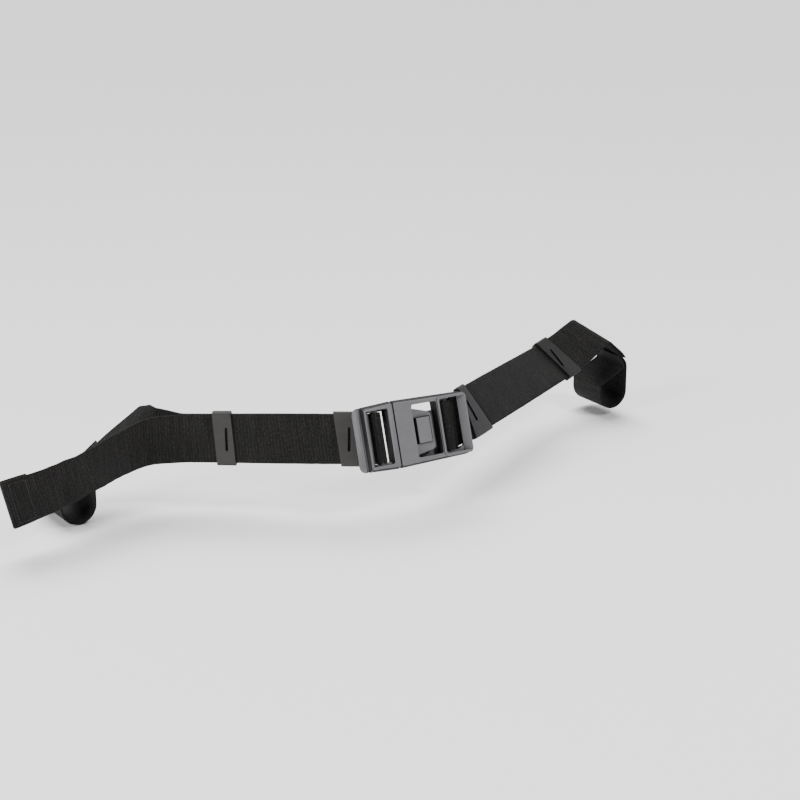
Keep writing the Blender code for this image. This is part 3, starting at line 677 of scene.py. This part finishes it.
class Look:
    """A material with short ways to add and join nodes."""

    def __init__(self, name):
        self.material = bpy.data.materials.new(name)
        self.material.use_nodes = True
        self.nodes = self.material.node_tree.nodes
        self.links = self.material.node_tree.links
        self.shader = self.nodes["Principled BSDF"]

    def node(self, kind, **values):
        made = self.nodes.new(kind)
        for key, value in values.items():
            setattr(made, key, value)
        return made

    def join(self, source, target):
        if isinstance(source, (int, float)):
            target.default_value = source
        else:
            self.links.new(source, target)

    def math(self, operation, a, b=0.0, c=0.0):
        made = self.node("ShaderNodeMath", operation=operation)
        for value, socket in zip((a, b, c), made.inputs):
            self.join(value, socket)
        return made.outputs[0]

    def weighted(self, *parts):
        """The sum of values, each given with its weight."""
        total = None
        for value, weight in parts:
            share = self.math("MULTIPLY", value, weight)
            total = share if total is None else self.math("ADD", total, share)
        return total

    def noise(self, place, scale, detail=2.0, stretch=(1, 1, 1)):
        mapping = self.node("ShaderNodeMapping")
        mapping.inputs["Scale"].default_value = stretch
        self.join(place, mapping.inputs["Vector"])
        made = self.node("ShaderNodeTexNoise")
        made.inputs["Scale"].default_value = scale
        made.inputs["Detail"].default_value = detail
        self.join(mapping.outputs[0], made.inputs["Vector"])
        return made.outputs["Fac"]

    def ramp(self, value, stops):
        made = self.node("ShaderNodeValToRGB")
        ramp = made.color_ramp
        while len(ramp.elements) < len(stops):
            ramp.elements.new(0.5)
        for element, (at, colour) in zip(ramp.elements, stops):
            element.position = at
            element.color = (*colour, 1.0)
        self.join(value, made.inputs["Fac"])
        return made.outputs["Color"]

    def bump(self, height, strength, distance):
        made = self.node("ShaderNodeBump")
        made.inputs["Strength"].default_value = strength
        made.inputs["Distance"].default_value = distance
        self.join(height, made.inputs["Height"])
        self.join(made.outputs["Normal"], self.shader.inputs["Normal"])

    def set(self, **values):
        for key, value in values.items():
            self.shader.inputs[key.replace("_", " ")].default_value = value


def webbing_look():
    """Black webbing: yarns along it, ribs across it, pale flecks and a faint sheen."""
    look = Look("woven_webbing")
    place = look.node("ShaderNodeAttribute", attribute_name="strap_place").outputs["Vector"]
    split = look.node("ShaderNodeSeparateXYZ")
    look.join(place, split.inputs[0])
    along, across = split.outputs[0], split.outputs[1]
    yarn = look.math("DIVIDE", across, YARN)
    row = look.math("FLOOR", yarn)
    odd = look.math("MODULO", look.math("ABSOLUTE", row), 2.0)
    slant = look.math("MULTIPLY", yarn, YARN_SLANT)
    phase = look.math("ADD", look.math("DIVIDE", along, RIB), look.math("MULTIPLY", odd, 0.5))
    phase = look.math("ADD", phase, slant)
    over = look.math("SINE", look.math("MULTIPLY", phase, 2 * math.pi))
    over = look.math("MULTIPLY_ADD", over, 0.5, 0.5)
    within = look.math("SUBTRACT", yarn, row)
    round_yarn = look.math("SINE", look.math("MULTIPLY", within, math.pi))
    weave = look.math("MULTIPLY", over, round_yarn)
    rib_fade = look.noise(place, RIB_FADE_RATE, 2.0)
    rib = look.math("SINE", look.math("MULTIPLY", along, 2 * math.pi / BROAD_RIB))
    rib = look.math("MULTIPLY", look.math("MULTIPLY_ADD", rib, 0.5, 0.5), rib_fade)
    streaks = look.noise(place, STREAK_RATE, 2.0, STREAK_STRETCH)
    height = look.weighted((weave, WEAVE_HEIGHT), (rib, RIB_HEIGHT), (streaks, STREAK_HEIGHT))
    shade = look.weighted((weave, WEAVE_SHADE), (streaks, STREAK_SHADE), (rib, RIB_SHADE))
    fleck = look.noise(place, FLECK_RATE, 3.0, FLECK_STRETCH)
    fleck = look.math("MULTIPLY_ADD", fleck, 1.0, -0.5)
    shade = look.math("ADD", shade, fleck)
    colour = look.ramp(shade, WEBBING_COLOURS)
    look.join(colour, look.shader.inputs["Base Color"])
    rough = look.math("MULTIPLY_ADD", weave, -0.12, 0.78)
    look.join(rough, look.shader.inputs["Roughness"])
    look.set(Sheen_Weight=0.02, Sheen_Roughness=0.45, Specular_IOR_Level=0.08)
    look.shader.inputs["Sheen Tint"].default_value = (0.75, 0.75, 0.78, 1.0)
    look.bump(height, WEAVE_BUMP, WEAVE_DEPTH)
    return look.material


def moulded_look(name, dark, light, roughness, grain, painted_wall_shade):
    """Moulded plastic: spark-eroded grain, faint flow marks, and painted shade that makes the walls
    darker than the faces.
    """
    look = Look(name)
    place = look.node("ShaderNodeTexCoord").outputs["Object"]
    fine = look.noise(place, GRAIN_RATE, 2.0)
    flow = look.noise(place, FLOW_RATE, 3.0, FLOW_STRETCH)
    wear = look.noise(place, WEAR_RATE, 4.0)
    shade = look.weighted((flow, FLOW_SHARE), (fine, GRAIN_SHARE))
    colour = look.ramp(shade, [(0.3, dark), (0.7, light)])
    # Painted shade: faces that turn away from OUT, the walls, get their base colour scaled down towards
    # the wall shade.
    facing = look.node("ShaderNodeVectorMath", operation="DOT_PRODUCT")
    look.join(look.node("ShaderNodeTexCoord").outputs["Normal"], facing.inputs[0])
    facing.inputs[1].default_value = OUT
    painted_shade_factor = look.node("ShaderNodeMapRange")
    look.join(look.math("ABSOLUTE", facing.outputs["Value"]), painted_shade_factor.inputs["Value"])
    painted_shade_factor.inputs["From Min"].default_value = PAINTED_SHADE_FULL_BELOW
    painted_shade_factor.inputs["From Max"].default_value = PAINTED_SHADE_GONE_ABOVE
    painted_shade_factor.inputs["To Min"].default_value = painted_wall_shade
    colour_with_painted_shade = look.node("ShaderNodeVectorMath", operation="SCALE")
    look.join(colour, colour_with_painted_shade.inputs[0])
    look.join(painted_shade_factor.outputs[0], colour_with_painted_shade.inputs["Scale"])
    look.join(colour_with_painted_shade.outputs[0], look.shader.inputs["Base Color"])
    rough = look.weighted((wear, WEAR_ROUGHNESS), (flow, FLOW_ROUGHNESS))
    rough = look.math("ADD", rough, roughness - MEAN_ROUGHNESS_ADDED)
    dull_walls = look.math("MULTIPLY_ADD", painted_shade_factor.outputs[0], -WALL_ROUGHNESS, WALL_ROUGHNESS)
    rough = look.math("ADD", rough, dull_walls)
    look.join(rough, look.shader.inputs["Roughness"])
    look.set(Specular_IOR_Level=0.22)
    look.bump(fine, grain, GRAIN_DEPTH)
    return look.material


def thread_look():
    """Black bonded thread: a slight shine with a two-ply twist."""
    look = Look("sewing_thread")
    place = look.node("ShaderNodeTexCoord").outputs["Object"]
    wave = look.node("ShaderNodeTexWave", wave_type="BANDS", bands_direction="DIAGONAL")
    wave.inputs["Scale"].default_value = THREAD_TWIST
    wave.inputs["Distortion"].default_value = 1.0
    look.join(place, wave.inputs["Vector"])
    colour = look.ramp(wave.outputs["Fac"], THREAD_COLOURS)
    look.join(colour, look.shader.inputs["Base Color"])
    look.set(Roughness=0.5)
    look.bump(wave.outputs["Fac"], THREAD_BUMP, THREAD_DEPTH)
    return look.material


def floor_look():
    look = Look("pale_floor")
    place = look.node("ShaderNodeTexCoord").outputs["Object"]
    cloud = look.noise(place, FLOOR_CLOUD_RATE, 2.0)
    colour = look.ramp(cloud, FLOOR_COLOURS)
    look.join(colour, look.shader.inputs["Base Color"])
    look.set(Roughness=0.9)
    return look.material


# The belt --------------------------------------------------------------------------------------

def make_left(web, sewing):
    outwards = -ALONG
    first, heading = strap_start(LEFT_BAR, outwards, LEFT_BEND)
    start = [(first, UP, 0), LEFT_BEND]
    tail = faced(filleted(start + LEFT_TAIL))
    load = faced(filleted(start + LEFT_RIDGE + frame_loop(LEFT_TUBE, LEFT_LOOP_TOP, -1)))
    front = side_sign(tail)
    tail_layer = eased(shifted(tail, front * LAYER_STEP / 2), TAIL_EASING)
    load_layer = shifted(load, -front * LAYER_STEP / 2)
    wrap = joined_wrap(tail_layer, load_layer, bar_wrap(LEFT_BAR, outwards, heading))
    fold = folded_end(tail_layer, -front)
    inwards = loop_side(load, LEFT_TUBE)
    end = returned_end(faced(load_layer), LEFT_TUBE, inwards)
    samples = list(reversed(fold)) + list(reversed(tail_layer))[:-1] + wrap + load_layer[1:] + end
    hem = run_length(fold)
    tail_length = run_length(tail_layer)
    bar_at = hem + tail_length
    bar_end = bar_at + run_length(wrap)
    keeper_out = bar_at - KEEPER_FROM_BAR
    creases = [(hem + x * MM, r * MM, d * MM, s) for x, r, d, s in LEFT_CREASES]
    fixed = [
        (0.0, hem + HEM_HOLD),
        (keeper_out - KEEPER_HOLD[0], keeper_out + KEEPER_HOLD[1]),
        (bar_at - LEFT_LADDER_HOLD[0], bar_end + LEFT_LADDER_HOLD[1]),
        (bar_end + LEFT_FREE_RUN, bar_end + PAST_END),
    ]
    piece, length = webbing("left_belt_webbing", samples, creases, web, fixed)
    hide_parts("left_webbing")
    tail_run = faced(tail_layer)
    load_run = faced(load_layer)
    near = tail_length - HEM_SEAM_INSET
    far = tail_length - HEM_LENGTH + HEM_SEAM_INSET
    thread = sewn("tail_hem_thread", [(tail_run, sewn_box(far, near), front)], sewing)
    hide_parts("tail_hem_stitching")
    down = height_at(load_run, LEFT_TUBE.z + LEFT_SEAM_TOP)
    loop_seam = (load_run, sewn_box(down, down + LOOP_SEAM_LENGTH), -inwards)
    loop_thread = sewn("left_loop_thread", [loop_seam], sewing)
    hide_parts("left_loop_stitching")
    for item in (piece, thread, loop_thread):
        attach(item, "left_strap")


def height_at(run, height):
    """How far along a run it first comes down to a height."""
    top = max(range(len(run)), key=lambda i: run[i][0].z)
    travelled = 0.0
    for i, (a, b) in enumerate(zip(run, run[1:])):
        if i >= top and b[0].z < height:
            return travelled
        travelled += (b[0] - a[0]).length
    return travelled


def make_right(web, sewing):
    outwards = ALONG
    first, heading = strap_start(RIGHT_BAR, outwards, RIGHT_BEND)
    route = [(first, UP, 0), RIGHT_BEND] + RIGHT_RIDGE + frame_loop(RIGHT_TUBE, RIGHT_LOOP_TOP, 1)
    load = faced(filleted(route))
    front = side_sign(load)
    load_layer = shifted(load, -front * LAYER_STEP / 2)
    tail_layer = shifted(load, front * LAYER_STEP / 2)
    ridge = max(range(len(tail_layer)), key=lambda i: tail_layer[i][0].z)
    lowest = RIGHT_TUBE.z + RIGHT_TAIL_END
    tail_layer = [s for i, s in enumerate(tail_layer) if i <= ridge or s[0].z > lowest]
    wrap = joined_wrap(tail_layer, load_layer, bar_wrap(RIGHT_BAR, outwards, heading))
    end = returned_end(faced(load_layer), RIGHT_TUBE, loop_side(load, RIGHT_TUBE))
    samples = list(reversed(tail_layer))[:-1] + wrap + load_layer[1:] + end
    tail_length = run_length(tail_layer)
    bar_end = tail_length + run_length(wrap)
    fixed = [
        (0.0, tail_length - RIGHT_FREE_RUN),
        (tail_length - RIGHT_LADDER_HOLD, bar_end + RIGHT_LADDER_HOLD),
        (bar_end + RIGHT_FREE_RUN, PAST_END),
    ]
    piece, length = webbing("right_belt_webbing", samples, [], web, fixed)
    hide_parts("right_webbing")
    tail_run = faced(tail_layer)
    near = tail_length - TAIL_SEAM_INSET
    tail_seam = (tail_run, sewn_box(near - TAIL_SEAM_LENGTH, near), front)
    thread = sewn("right_tail_thread", [tail_seam], sewing)
    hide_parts("right_tail_stitching")
    for item in (piece, thread):
        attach(item, "right_strap")


def make_mouldings():
    looks = {name: moulded_look(name, *values) for name, values in PLASTICS.items()}
    for name, node, width, plastic, body, slot in MOULDINGS:
        piece = softened(name, node, width * MM, looks[plastic], body)


# Stage -----------------------------------------------------------------------------------------

def make_floor():
    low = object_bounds()[0][2] - FLOOR_GAP
    mesh = bpy.data.meshes.new("studio_floor")
    corners = [(x * FLOOR_SIZE, y * FLOOR_SIZE, low) for x, y in ((-1, -1), (1, -1), (1, 1), (-1, 1))]
    mesh.from_pydata(corners, [], [(0, 1, 2, 3)])
    floor = linked("studio_floor", mesh, floor_look())


def add_light(data, place):
    """Puts a light at a place, facing the belt."""
    light = bpy.data.objects.new(data.name, data)
    bpy.context.scene.collection.objects.link(light)
    light.location = place
    light.rotation_euler = (Vector(BELT_MIDDLE) - Vector(place)).to_track_quat("-Z", "Y").to_euler()


def area_light(name, place, size, power, colour):
    data = bpy.data.lights.new(name, "AREA")
    data.shape = "RECTANGLE"
    data.size, data.size_y = size
    data.energy = power
    data.color = colour
    add_light(data, place)


def make_light():
    """A key from the front right, a fill from the left, a weak top light and a sun from behind."""
    world = bpy.data.worlds.new("soft_studio")
    world.use_nodes = True
    background = world.node_tree.nodes["Background"]
    background.inputs["Color"].default_value = (1.0, 1.0, 1.0, 1.0)
    background.inputs["Strength"].default_value = WORLD_STRENGTH
    bpy.context.scene.world = world
    for light in AREA_LIGHTS:
        area_light(*light)
    sun = bpy.data.lights.new("back_sun", "SUN")
    sun.energy = SUN_ENERGY
    sun.angle = SUN_ANGLE
    add_light(sun, SUN_FROM)


def make_camera():
    """The photograph's view: a long lens, 33 degrees to the left of the front and 18 above."""
    data = bpy.data.cameras.new("camera")
    data.lens = CAMERA_LENS
    data.sensor_width = CAMERA_SENSOR
    camera = bpy.data.objects.new("camera", data)
    bpy.context.scene.collection.objects.link(camera)
    right = Vector(CAMERA_RIGHT).normalized()
    back = Vector(CAMERA_BACK).normalized()
    up = back.cross(right).normalized()
    right = up.cross(back)
    turn = Matrix((right, up, back)).transposed().to_4x4()
    camera.matrix_world = Matrix.Translation(CAMERA_PLACE) @ turn
    bpy.context.scene.camera = camera


make_camera()
web_material = webbing_look()
thread_material = thread_look()
make_left(web_material, thread_material)
make_right(web_material, thread_material)
make_mouldings()
make_floor()
make_light()
